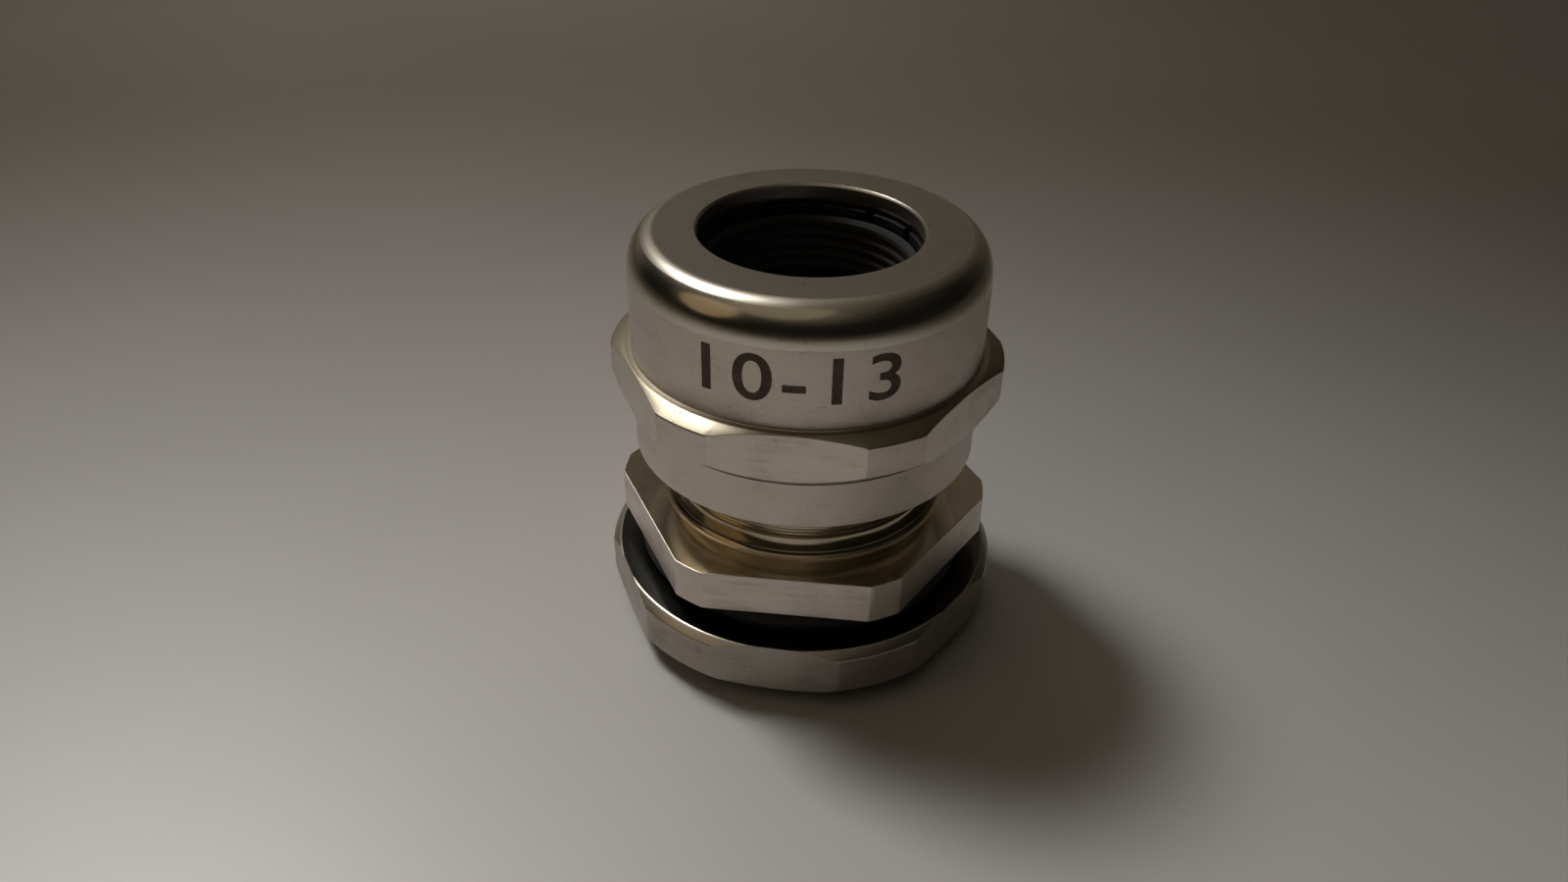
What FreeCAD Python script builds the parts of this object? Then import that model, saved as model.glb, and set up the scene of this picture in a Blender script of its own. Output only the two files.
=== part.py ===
import FreeCAD, Part
import Sketcher
import os
import re

# Cable gland of nickel-plated brass: a body with a hexagon flange and two threads, a dome nut that
# clamps the cable through a slotted cage and a rubber insert, a lock nut and a rubber seal ring.
# Z runs up the cable's axis towards the dome nut. Z = 0 is the end of the connection thread.
# All lengths are in millimetres and all angles in degrees.

SIZES = {
    # gland body
    "shank_len": 6.5,
    "flange_height": 2.9,
    "flange_ledge": 0.25,
    "flange_corner": 2.4,
    "neck_fillet": 0.9,
    "neck_len": 3.7,
    "neck_wall": 1.15,
    "upper_len": 5.9,
    "passage_dia": 14.5,
    "cage_seat_depth": 5.1,
    "edge_break": 0.15,
    "end_chamfer": 0.5,
    # upper thread, between the body and the dome nut
    "upper_dia": 20.0,
    "upper_pitch": 1.5,
    "upper_depth_share": 0.533,
    "upper_root_share": 0.11,
    "upper_slope": 0.577,
    # connection thread, between the body and the lock nut
    "lower_dia": 22.5,
    "lower_pitch": 1.411,
    "lower_depth_share": 0.46,
    "lower_root_share": 0.057,
    "lower_slope": 0.839,
    "undercut_depth": 1.3,
    "undercut_width": 1.6,
    # clearances
    "thread_relief": 0.05,
    "thread_gap": 0.1,
    "flank_gap": 0.1,
    "sweep_over": 0.05,
    "guide_gap": 0.05,
    "cone_gap": 0.1,
    "insert_gap": 0.05,
    "ring_gap": 0.05,
    # dome nut
    "nut_standoff": 4.1,
    "nut_turn": -0.6,
    "nut_relief": 0.3,
    "nut_relief_len": 2.2,
    "band_wall": 1.2,
    "nut_flat_step": 0.5,
    "nut_corner": 1.8,
    "chamfer_step": 0.1,
    "collar_step": 0.05,
    "collar_height": 3.4,
    "corner_low": 4.54,
    "corner_high": 6.62,
    "band_low": 7.1,
    "shoulder_fillet": 1.8,
    "hole_dia": 14.2,
    "lip_height": 0.9,
    "cone_step": 0.9,
    "cone_len": 4.5,
    # clamping cage
    "cage_travel": 3.2,
    "cage_drop": 0.7,
    "cage_sleeve_wall": 0.6,
    "cage_flange_step": 0.5,
    "cage_flange_height": 0.9,
    "cage_floor": 0.3,
    "cage_tip_step": 0.2,
    "cage_tip_gap": 0.5,
    "cage_tip_hook": 0.6,
    "cage_slot_width": 0.7,
    # rubber insert
    "insert_lip": 0.5,
    "insert_step": 0.85,
    "insert_straight": 2.4,
    "insert_lead": 0.25,
    # seal ring
    "ring_section": 1.5,
    # lock nut
    "lock_height": 3.6,
    "lock_wall": 1.7,
    "lock_turn": -2.5,
    "lock_corner": 1.3,
    "lock_top_step": 0.1,
    "lock_top_chamfer": 0.5,
    "lock_bottom_step": 0.05,
    "lock_bottom_chamfer": 0.4,
    "lock_lead": 0.4,
}

HEX_SIDES = 6
CAGE_SLOTS = 12
CUT_REACH = 20

os.makedirs("parts", exist_ok=True)
doc = FreeCAD.newDocument("cable_gland")
sheet = doc.addObject("Spreadsheet::Sheet", "Dims")
for row, (alias, value) in enumerate(SIZES.items(), start=1):
    sheet.set("A%d" % row, alias)
    sheet.set("B%d" % row, str(value))
    sheet.setAlias("B%d" % row, alias)
doc.recompute()


def cell_of(word):
    """The sheet's cell for a size name; any other word stays as it is."""
    return "Dims." + word if word in SIZES else word


def linked(formula):
    """Turn a formula in size names into one that reads the sheet."""
    return re.sub(r"\w+", lambda word: cell_of(word.group()), formula)


def value_of(formula):
    """The present value of a formula in size names."""
    return float(sheet.evalExpression(linked(formula)))


def new_body(label, height="0", turn="0"):
    """A body at the given height on the axis, turned about it."""
    body = doc.addObject("PartDesign::Body", label)
    body.Label = label
    body.setExpression("Placement.Base.z", linked(height))
    body.setExpression("Placement.Rotation.Yaw", linked(turn))
    return body


def new_sketch(body, name, role, height="0"):
    """A sketch on one of the body's own planes, lifted by the given height."""
    plane = next(item for item in body.Origin.OriginFeatures if item.Role == role)
    sketch = body.newObject("Sketcher::SketchObject", name)
    sketch.AttachmentSupport = (plane, [""])
    sketch.MapMode = "FlatFace"
    sketch.setExpression("AttachmentOffset.Base.z", linked(height))
    return sketch


def pin_point(sketch, index, point, corner):
    """Fix one point of a sketch line or circle at a corner, which is a pair of formulas."""
    for axis, formula in zip(("DistanceX", "DistanceY"), corner):
        constraint = Sketcher.Constraint(axis, -1, 1, index, point, value_of(formula))
        number = sketch.addConstraint(constraint)
        sketch.setExpression("Constraints[%d]" % number, linked(formula))


def draw_outline(sketch, corners):
    """A closed outline of straight lines from corner to corner."""
    points = [FreeCAD.Vector(value_of(across), value_of(up), 0) for across, up in corners]
    count = len(points)
    for i in range(count):
        sketch.addGeometry(Part.LineSegment(points[i], points[(i + 1) % count]), False)
    for i in range(count):
        sketch.addConstraint(Sketcher.Constraint("Coincident", i, 2, (i + 1) % count, 1))
    for i in range(count):
        pin_point(sketch, i, 1, corners[i])


def turn_outline(body, name, sketch):
    """Turn a sketch once about the axis."""
    solid = body.newObject("PartDesign::Revolution", name)
    solid.Profile = sketch
    solid.ReferenceAxis = (sketch, ["V_Axis"])
    solid.Angle = 360
    doc.recompute()
    return solid


def revolve(body, name, corners):
    """Turn an outline of radii and heights about the axis."""
    sketch = new_sketch(body, name + "_sketch", "XZ_Plane")
    draw_outline(sketch, corners)
    return turn_outline(body, name, sketch)


def round_edge(body, name, base, dia, height, size):
    """Round the one full circular edge that lies at this diameter and height."""
    radius = value_of(dia) / 2
    level = value_of(height)
    names = [
        "Edge%d" % number
        for number, edge in enumerate(base.Shape.Edges, start=1)
        if isinstance(edge.Curve, Part.Circle)
        and abs(edge.Curve.Radius - radius) < 1e-4
        and abs(edge.Curve.Center.z - level) < 1e-4
    ]
    if not names:
        raise RuntimeError("no edge to round for " + name)
    fillet = body.newObject("PartDesign::Fillet", name)
    fillet.Base = (base, names)
    fillet.setExpression("Radius", linked(size))
    doc.recompute()
    return fillet


def cut_around(body, name, corners, height, depth, count):
    """Pocket an outline from a height upwards and repeat it around the axis."""
    sketch = new_sketch(body, name + "_sketch", "XY_Plane", height)
    draw_outline(sketch, corners)
    pocket = body.newObject("PartDesign::Pocket", name)
    pocket.Profile = sketch
    pocket.Reversed = True
    pocket.setExpression("Length", linked(depth))
    doc.recompute()
    axis = next(item for item in body.Origin.OriginFeatures if item.Role == "Z_Axis")
    pattern = body.newObject("PartDesign::PolarPattern", name + "_pattern")
    pattern.Originals = [pocket]
    pattern.Axis = (axis, [""])
    pattern.Angle = 360
    pattern.Occurrences = count
    body.Tip = pattern
    doc.recompute()
    return pattern


def cut_hexagon(body, across_flats, height):
    """Mill six flats along the whole height of a turned piece."""
    flat = "0 - %s / 2" % across_flats
    reach = str(CUT_REACH)
    corners = [("0 - " + reach, flat), (reach, flat), (reach, "0 - 2 * " + reach)]
    corners.append(("0 - " + reach, "0 - 2 * " + reach))
    return cut_around(body, "flats", corners, "0", height, HEX_SIDES)


def cut_thread(body, name, inner, outer, start, pitch, height):
    """Cut a right-hand helical groove; inner and outer each give a radius and a half width."""
    sketch = new_sketch(body, name + "_sketch", "XZ_Plane")
    corners = [
        (inner[0], "%s - ( %s )" % (start, inner[1])),
        (outer[0], "%s - ( %s )" % (start, outer[1])),
        (outer[0], "%s + ( %s )" % (start, outer[1])),
        (inner[0], "%s + ( %s )" % (start, inner[1])),
    ]
    draw_outline(sketch, corners)
    groove = body.newObject("PartDesign::SubtractiveHelix", name)
    groove.Profile = sketch
    groove.ReferenceAxis = (sketch, ["V_Axis"])
    groove.Mode = "pitch-height-angle"
    groove.setExpression("Pitch", linked(pitch))
    groove.setExpression("Height", linked(height))
    groove.LeftHanded = False
    groove.Reversed = False
    doc.recompute()
    return groove


def depth_of(side):
    """The depth of a thread's groove, from its pitch."""
    return "( %s_pitch * %s_depth_share )" % (side, side)


def root_half_of(side):
    """Half the width of a thread's groove at its root, from its pitch."""
    return "( %s_pitch * %s_root_share )" % (side, side)


def nut_bore_of(side):
    """The radius of a nut's bore, inside its thread."""
    return "( %s_dia / 2 - %s + thread_gap )" % (side, depth_of(side))


def outside_thread(side):
    """The groove of a thread on the body: radius and half width at its root and past its crest."""
    root = "%s_dia / 2 - %s" % (side, depth_of(side))
    root_half = root_half_of(side)
    crest = "%s_dia / 2 + sweep_over" % side
    crest_half = "%s + ( %s + sweep_over ) * %s_slope" % (root_half, depth_of(side), side)
    return (root, root_half), (crest, crest_half)


def inside_thread(side):
    """The groove of the same thread in a nut, wider and deeper by the clearances."""
    ridge_half = "%s_pitch / 2 - %s + flank_gap" % (side, root_half_of(side))
    bore = "%s - sweep_over" % nut_bore_of(side)
    bore_half = "%s - ( thread_gap - sweep_over ) * %s_slope" % (ridge_half, side)
    root = "%s_dia / 2 + thread_gap" % side
    root_half = "%s - ( %s + thread_gap ) * %s_slope" % (ridge_half, depth_of(side), side)
    return (bore, bore_half), (root, root_half)


# Gland body: shank, undercut, hexagon flange, neck and upper thread around one passage
gland_body = new_body("gland_body")
UPPER_DEPTH = depth_of("upper")
LOWER_DEPTH = depth_of("lower")
FLANGE_TOP = "( shank_len + flange_height )"
FLANGE_FLATS = "( max( lower_dia ; upper_dia ) + 2 * flange_ledge )"
FLANGE_CORNER = "( %s + flange_corner ) / 2" % FLANGE_FLATS
NECK_DIA = "( upper_dia - 2 * ( %s + thread_relief ) )" % UPPER_DEPTH
NECK_TOP = "( %s + neck_len )" % FLANGE_TOP
BODY_TOP = "( %s + upper_len )" % NECK_TOP
UNDERCUT = "( lower_dia / 2 - undercut_depth )"
UNDERCUT_LOW = "( shank_len - undercut_width )"
CAGE_SEAT = "( %s / 2 - neck_wall )" % NECK_DIA
CAGE_SHOULDER = "( %s - cage_seat_depth )" % BODY_TOP
turned_body = revolve(
    gland_body,
    "turned_body",
    [
        ("passage_dia / 2 + end_chamfer", "0"),
        ("lower_dia / 2 - " + LOWER_DEPTH, "0"),
        ("lower_dia / 2", LOWER_DEPTH),
        ("lower_dia / 2", UNDERCUT_LOW + " - " + LOWER_DEPTH),
        (UNDERCUT, UNDERCUT_LOW),
        (UNDERCUT, "shank_len"),
        (FLANGE_CORNER, "shank_len"),
        (FLANGE_CORNER, FLANGE_TOP),
        (NECK_DIA + " / 2", FLANGE_TOP),
        (NECK_DIA + " / 2", NECK_TOP),
        ("upper_dia / 2", NECK_TOP + " + %s / 2" % UPPER_DEPTH),
        ("upper_dia / 2", BODY_TOP + " - " + UPPER_DEPTH),
        ("upper_dia / 2 - " + UPPER_DEPTH, BODY_TOP),
        (CAGE_SEAT + " + end_chamfer / 2", BODY_TOP),
        (CAGE_SEAT, BODY_TOP + " - end_chamfer / 2"),
        (CAGE_SEAT, CAGE_SHOULDER),
        ("passage_dia / 2", CAGE_SHOULDER),
        ("passage_dia / 2", "end_chamfer"),
    ],
)
round_edge(gland_body, "neck_round", turned_body, NECK_DIA, FLANGE_TOP, "neck_fillet")
cut_hexagon(gland_body, FLANGE_FLATS, BODY_TOP)
UPPER_START = "( %s - upper_pitch )" % NECK_TOP
LOWER_START = "( 0 - lower_pitch )"
upper_run = "upper_len + 2 * upper_pitch"
lower_run = "shank_len - undercut_width / 2 + lower_pitch / 2"
upper_groove = outside_thread("upper")
lower_groove = outside_thread("lower")
cut_thread(gland_body, "upper_thread", *upper_groove, UPPER_START, "upper_pitch", upper_run)
cut_thread(gland_body, "lower_thread", *lower_groove, LOWER_START, "lower_pitch", lower_run)

# Dome nut: collar, hexagon, plain band and rounded shoulder over a thread and an inner cone
NUT_REST = "( %s + nut_standoff )" % FLANGE_TOP
NUT_BORE = nut_bore_of("upper")
RELIEF = "( upper_dia / 2 + nut_relief )"
CONE_LOW = "( %s - cone_step )" % RELIEF
CONE_BASE = "( %s - %s + cage_travel + cage_drop )" % (BODY_TOP, NUT_REST)
LIP_BASE = "( %s + cone_len )" % CONE_BASE
NUT_TOP = "( %s + lip_height )" % LIP_BASE
BAND = "( %s + band_wall )" % RELIEF
NUT_FLATS = "( 2 * %s + 2 * nut_flat_step )" % BAND
NUT_CORNER = "( %s + nut_corner ) / 2" % NUT_FLATS
THREAD_TOP = "( %s - nut_relief_len )" % CONE_BASE
dome_nut = new_body("dome_nut", NUT_REST, "nut_turn")
turned_nut = revolve(
    dome_nut,
    "turned_nut",
    [
        (NUT_BORE + " + " + UPPER_DEPTH, "0"),
        (BAND + " - collar_step - edge_break", "0"),
        (BAND + " - collar_step", "edge_break"),
        (BAND + " - collar_step", "collar_height"),
        (NUT_CORNER, "corner_low"),
        (NUT_CORNER, "corner_high"),
        (NUT_FLATS + " / 2 - chamfer_step", "band_low"),
        (BAND, "band_low"),
        (BAND, NUT_TOP),
        ("hole_dia / 2 + edge_break", NUT_TOP),
        ("hole_dia / 2", NUT_TOP + " - edge_break"),
        ("hole_dia / 2", LIP_BASE),
        (CONE_LOW, CONE_BASE),
        (RELIEF, CONE_BASE),
        (RELIEF, THREAD_TOP),
        (NUT_BORE, THREAD_TOP),
        (NUT_BORE, UPPER_DEPTH),
    ],
)
round_edge(dome_nut, "shoulder", turned_nut, "2 * " + BAND, NUT_TOP, "shoulder_fillet")
cut_hexagon(dome_nut, NUT_FLATS, NUT_TOP)
nut_phase = "( ( %s - %s - upper_pitch / 2 ) %% upper_pitch )" % (NUT_REST, UPPER_START)
nut_start = "( 0 - upper_pitch - %s )" % nut_phase
nut_run = THREAD_TOP + " + 2.5 * upper_pitch"
nut_groove = inside_thread("upper")
cut_thread(dome_nut, "nut_thread", *nut_groove, nut_start, "upper_pitch", nut_run)

# Clamping cage: a sleeve guided in the body, a flange and twelve fingers under the nut's cone
CAGE_REST = "( %s + cage_travel )" % BODY_TOP
CAGE_TIP = "( cage_drop + cone_len - cage_tip_gap )"
CAGE_FLANGE = "( %s - cage_flange_step )" % CONE_LOW
SLEEVE = "( %s - guide_gap )" % CAGE_SEAT
SLEEVE_BORE = "( %s - cage_sleeve_wall )" % SLEEVE
SLEEVE_LOW = "( guide_gap - cage_seat_depth )"
TIP_BORE = "( hole_dia / 2 - cage_tip_step )"
POCKET = "( %s + insert_step )" % TIP_BORE
CONE_SLOPE = "( ( %s - hole_dia / 2 ) / cone_len )" % CONE_LOW
TIP_RADIUS = "hole_dia / 2 - cone_gap + cage_tip_gap * " + CONE_SLOPE
finger_drop = "( %s + cone_gap - hole_dia / 2 ) / %s" % (CAGE_FLANGE, CONE_SLOPE)
clamping_cage = new_body("clamping_cage", CAGE_REST)
revolve(
    clamping_cage,
    "cage_form",
    [
        (SLEEVE_BORE, SLEEVE_LOW),
        (SLEEVE, SLEEVE_LOW),
        (SLEEVE, "0"),
        (CAGE_FLANGE, "0"),
        (CAGE_FLANGE, "cage_drop + cone_len - " + finger_drop),
        (TIP_RADIUS, CAGE_TIP),
        (TIP_BORE, CAGE_TIP),
        (TIP_BORE, CAGE_TIP + " - cage_tip_hook"),
        (POCKET, "cage_floor + insert_straight + 2 * insert_gap"),
        (POCKET, "cage_floor"),
        (SLEEVE_BORE, "cage_floor"),
    ],
)
slot_corners = [
    (SLEEVE_BORE + " - 1", "0 - cage_slot_width / 2"),
    (CAGE_FLANGE + " + 1", "0 - cage_slot_width / 2"),
    (CAGE_FLANGE + " + 1", "cage_slot_width / 2"),
    (SLEEVE_BORE + " - 1", "cage_slot_width / 2"),
]
cut_around(clamping_cage, "slots", slot_corners, "cage_flange_height", CAGE_TIP, CAGE_SLOTS)

# Rubber insert: a plain sleeve standing on the cage's floor, narrowing under the fingertips
INSERT_BORE = "( %s - insert_lip )" % TIP_BORE
INSERT_TOP = "( %s - cage_tip_hook - cage_floor - 2 * insert_gap )" % CAGE_TIP
sealing_insert = new_body("sealing_insert", CAGE_REST + " + cage_floor + insert_gap")
revolve(
    sealing_insert,
    "insert_form",
    [
        (INSERT_BORE, "0"),
        (POCKET + " - insert_gap", "0"),
        (POCKET + " - insert_gap", "insert_straight"),
        (TIP_BORE + " - insert_gap", INSERT_TOP),
        (INSERT_BORE + " + insert_lead", INSERT_TOP),
        (INSERT_BORE, INSERT_TOP + " - insert_lead"),
    ],
)

# Seal ring in the undercut below the flange
RING_RADIUS = UNDERCUT + " + ring_gap + ring_section / 2"
seal_ring = new_body("seal_ring", "shank_len - ring_gap - ring_section / 2")
ring_sketch = new_sketch(seal_ring, "ring_sketch", "XZ_Plane")
ring_centre = FreeCAD.Vector(value_of(RING_RADIUS), 0, 0)
upward = FreeCAD.Vector(0, 0, 1)
ring_sketch.addGeometry(Part.Circle(ring_centre, upward, value_of("ring_section / 2")), False)
pin_point(ring_sketch, 0, 3, (RING_RADIUS, "0"))
ring_size = Sketcher.Constraint("Radius", 0, value_of("ring_section / 2"))
ring_number = ring_sketch.addConstraint(ring_size)
ring_sketch.setExpression("Constraints[%d]" % ring_number, linked("ring_section / 2"))
turn_outline(seal_ring, "ring_form", ring_sketch)

# Lock nut: chamfered hexagon whose thread runs right through
LOCK_REST = "( shank_len - ring_section - 3 * ring_gap - lock_height )"
LOCK_BORE = nut_bore_of("lower")
LOCK_FLATS = "( lower_dia + 2 * lock_wall )"
LOCK_CORNER = "( %s + lock_corner ) / 2" % LOCK_FLATS
lock_nut = new_body("lock_nut", LOCK_REST, "lock_turn")
revolve(
    lock_nut,
    "turned_lock_nut",
    [
        (LOCK_BORE + " + lock_lead", "0"),
        (LOCK_FLATS + " / 2 - lock_bottom_step", "0"),
        (LOCK_CORNER, "lock_bottom_chamfer"),
        (LOCK_CORNER, "lock_height - lock_top_chamfer"),
        (LOCK_FLATS + " / 2 + lock_top_step", "lock_height"),
        (LOCK_BORE + " + lock_lead", "lock_height"),
        (LOCK_BORE, "lock_height - lock_lead"),
        (LOCK_BORE, "lock_lead"),
    ],
)
cut_hexagon(lock_nut, LOCK_FLATS, "lock_height")
lock_phase = "( ( %s - %s + lower_pitch / 2 ) %% lower_pitch )" % (LOCK_REST, LOWER_START)
lock_start = "( 0 - lower_pitch - %s )" % lock_phase
lock_run = "lock_height + 4 * lower_pitch"
lock_groove = inside_thread("lower")
cut_thread(lock_nut, "lock_thread", *lock_groove, lock_start, "lower_pitch", lock_run)

PIECES = [gland_body, dome_nut, clamping_cage, sealing_insert, seal_ring, lock_nut]
doc.recompute()
for item in doc.Objects:
    if "Invalid" in item.State or "Error" in item.State:
        raise RuntimeError("%s did not build: %s" % (item.Name, item.State))
for piece in PIECES:
    if piece.Shape.isNull() or not piece.Shape.isValid():
        raise RuntimeError("%s has no sound shape" % piece.Label)
    if len(piece.Shape.Solids) != 1:
        raise RuntimeError("%s is not one solid" % piece.Label)
for piece in PIECES:
    piece.Shape.exportStep("parts/%s.step" % piece.Label)
    print(piece.Label, "volume", round(piece.Shape.Volume, 1))
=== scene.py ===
"""A nickel-plated cable gland: turned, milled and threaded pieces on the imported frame."""

import logging
import math
from dataclasses import dataclass, field
from enum import Enum
from typing import Any, Callable

import bpy
from mathutils import Matrix, Vector


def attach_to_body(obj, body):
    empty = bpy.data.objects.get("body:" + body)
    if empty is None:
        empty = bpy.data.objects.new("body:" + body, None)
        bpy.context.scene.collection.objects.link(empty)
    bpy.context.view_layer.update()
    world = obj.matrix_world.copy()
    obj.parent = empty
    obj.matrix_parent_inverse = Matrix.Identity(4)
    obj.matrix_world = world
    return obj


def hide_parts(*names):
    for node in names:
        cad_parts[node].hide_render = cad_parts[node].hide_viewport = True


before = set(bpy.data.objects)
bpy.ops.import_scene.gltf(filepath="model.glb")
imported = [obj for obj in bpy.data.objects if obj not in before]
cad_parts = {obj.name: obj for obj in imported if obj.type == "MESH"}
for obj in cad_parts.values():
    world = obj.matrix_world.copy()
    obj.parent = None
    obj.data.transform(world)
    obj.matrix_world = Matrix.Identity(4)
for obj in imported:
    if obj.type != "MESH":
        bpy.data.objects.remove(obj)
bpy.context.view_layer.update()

MM = 0.001
TURN = 2 * math.pi
WELD = 2e-6
SLIVER = 1e-6
TOUCHING = 1e-7
OUTER_WALL = 11.2
SHARP = 18.0
LATHE_STEPS = 192
THREAD_STEPS = 96

LOG = logging.getLogger("cable_gland")
Colour = tuple[float, float, float]


# ---------------------------------------------------------------- shader maths


class Wire:
    """A shader socket that takes part in Python arithmetic."""

    def __init__(self, bench: "NodeBench", socket: bpy.types.NodeSocket) -> None:
        """Keep the node tree's bench and the output socket."""
        self.bench = bench
        self.socket = socket

    def math(self, operation: str, *values: Any) -> "Wire":
        """Run one Math node on this wire and other values."""
        sockets = dict(enumerate((self, *values)))
        return self.bench.node("ShaderNodeMath", {"operation": operation}, sockets)

    def __add__(self, other: Any) -> "Wire":
        """Return the sum."""
        return self.math("ADD", other)

    __radd__ = __add__

    def __mul__(self, other: Any) -> "Wire":
        """Return the product."""
        return self.math("MULTIPLY", other)

    __rmul__ = __mul__

    def __sub__(self, other: Any) -> "Wire":
        """Return the difference."""
        return self.math("SUBTRACT", other)

    def __rsub__(self, other: Any) -> "Wire":
        """Return the other value less this one."""
        return self.math("MULTIPLY", -1.0) + other

    def root(self) -> "Wire":
        """Return the square root."""
        return self.math("SQRT")

    def between(self, low: float, high: float) -> "Wire":
        """Rise smoothly from 0 at low to 1 at high.

        Args:
            low: The value that gives 0.
            high: The value that gives 1.

        Returns:
            The eased share.
        """
        settings = {"interpolation_type": "SMOOTHSTEP"}
        sockets = {"Value": self, "From Min": low, "From Max": high}
        return self.bench.node("ShaderNodeMapRange", settings, sockets)


class NodeBench:
    """A node tree and the one method that adds nodes to it."""

    def __init__(self, tree: bpy.types.NodeTree) -> None:
        """Empty the tree."""
        self.tree = tree
        tree.nodes.clear()

    def node(
        self,
        kind: str,
        settings: dict[str, Any] | None = None,
        sockets: dict[int | str, Any] | None = None,
        output: int | str = 0,
    ) -> Wire:
        """Add one node.

        Args:
            kind: The node's type name.
            settings: Its properties, which are set first.
            sockets: Values or wires for its inputs, by name or place.
            output: The output to hand back.

        Returns:
            A wire from that output.
        """
        item = self.tree.nodes.new(kind)
        for key, value in (settings or {}).items():
            setattr(item, key, value)
        for key, value in (sockets or {}).items():
            if isinstance(value, Wire):
                self.tree.links.new(value.socket, item.inputs[key])
            else:
                item.inputs[key].default_value = value
        exits = item.outputs
        return Wire(self, exits[output] if len(exits) else None)

    def mix(self, share: Any, first: Any, second: Any) -> Wire:
        """Blend two colours by a share.

        Args:
            share: 0 for the first colour, 1 for the second.
            first: A wire or a colour.
            second: A wire or a colour.

        Returns:
            The blended colour.
        """
        ends = [v if isinstance(v, Wire) else (*v, 1.0) for v in (first, second)]
        sockets = {0: share, 6: ends[0], 7: ends[1]}
        return self.node("ShaderNodeMix", {"data_type": "RGBA"}, sockets, 2)

    def noise(self, place: Wire, scale: float, detail: float = 2.0, rough: float = 0.5) -> Wire:
        """Read fractal noise at a place.

        Args:
            place: The vector wire.
            scale: Features in each unit of the vector.
            detail: Octaves of finer noise.
            rough: How strong the finer octaves are.

        Returns:
            A value about 0.5.
        """
        sockets = {"Vector": place, "Scale": scale, "Detail": detail, "Roughness": rough}
        return self.node("ShaderNodeTexNoise", {}, sockets)

    def cells(self, place: Wire, scale: float) -> Wire:
        """Read the distance to scattered points.

        Args:
            place: The vector wire.
            scale: Points in each unit of the vector.

        Returns:
            The distance, 0 at a point.
        """
        return self.node("ShaderNodeTexVoronoi", {}, {"Vector": place, "Scale": scale}, "Distance")

    def vector(self, across: Any, deep: Any, up: Any) -> Wire:
        """Join three values into a vector."""
        return self.node("ShaderNodeCombineXYZ", {}, {0: across, 1: deep, 2: up})


class Lay(Enum):
    """The way a tool's fine marks run."""

    AROUND = "around the axis at one height"
    RINGS = "rings about the axis"


def new_material(name: str) -> tuple[bpy.types.Material, NodeBench]:
    """Add an empty node material.

    Args:
        name: The material's name.

    Returns:
        The material and its bench.
    """
    material = bpy.data.materials.new(name)
    material.use_nodes = True
    return material, NodeBench(material.node_tree)


@dataclass(frozen=True)
class PlateFinish:
    """Nickel plate on brass, with the marks that one tool left."""

    name: str
    tint: Colour = (0.68, 0.615, 0.545)
    shade: Colour = (0.52, 0.46, 0.39)
    roughness: float = 0.36
    unevenness: float = 0.08
    lay: Lay = Lay.AROUND
    line_scale: float = 9000.0
    line_reach: float = 120.0
    line_depth: float = 0.25
    mottling: float = 0.5
    pits: float = 0.35
    line_tone: float = 0.35
    grain_tone: float = 0.0
    line_height: float = 0.02

    def build(self) -> bpy.types.Material:
        """Make the material."""
        material, bench = new_material(self.name)
        place = bench.node("ShaderNodeTexCoord", output="Object")
        split = bench.node("ShaderNodeSeparateXYZ", {}, {0: place}).socket.node
        across, deep, up = (Wire(bench, out) for out in split.outputs)
        radius = (across * across + deep * deep).root()
        along = radius if self.lay is Lay.RINGS else up
        streaks = bench.vector(
            across * self.line_reach, deep * self.line_reach, along * self.line_scale
        )
        lines = bench.noise(streaks, 1.0, 3.0, 0.6)
        coarse = bench.noise(streaks, 0.21, 2.0, 0.5)
        cloud = bench.noise(place, 420.0, 3.0, 0.55)
        grain = bench.noise(place, 5200.0, 2.0, 0.6)
        pit = (1.0 - bench.cells(place, 1500.0).between(0.05, 0.16)) * cloud.between(0.52, 0.66)
        marks = lines * 0.65 + coarse * 0.35
        stain = (
            cloud.between(0.35, 0.72) * self.mottling
            + (marks - 0.5) * self.line_tone
            + (grain - 0.5) * self.grain_tone
        )
        colour = bench.mix(stain.between(0.0, 1.0), self.tint, self.shade)
        colour = bench.mix(pit * self.pits, colour, (0.16, 0.12, 0.085))
        roughness = (
            (marks - 0.5) * self.unevenness * 2.0
            + (cloud - 0.5) * self.unevenness
            + pit * 0.2
            + self.roughness
        )
        height = marks * 0.8 + grain * 0.2 - pit * self.pits
        bump = bench.node(
            "ShaderNodeBump",
            {},
            {"Strength": self.line_depth, "Distance": self.line_height * MM, "Height": height},
        )
        shader = bench.node(
            "ShaderNodeBsdfPrincipled",
            {},
            {"Base Color": colour, "Metallic": 1.0, "Roughness": roughness, "Normal": bump},
        )
        bench.node("ShaderNodeOutputMaterial", {}, {0: shader})
        return material


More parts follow.
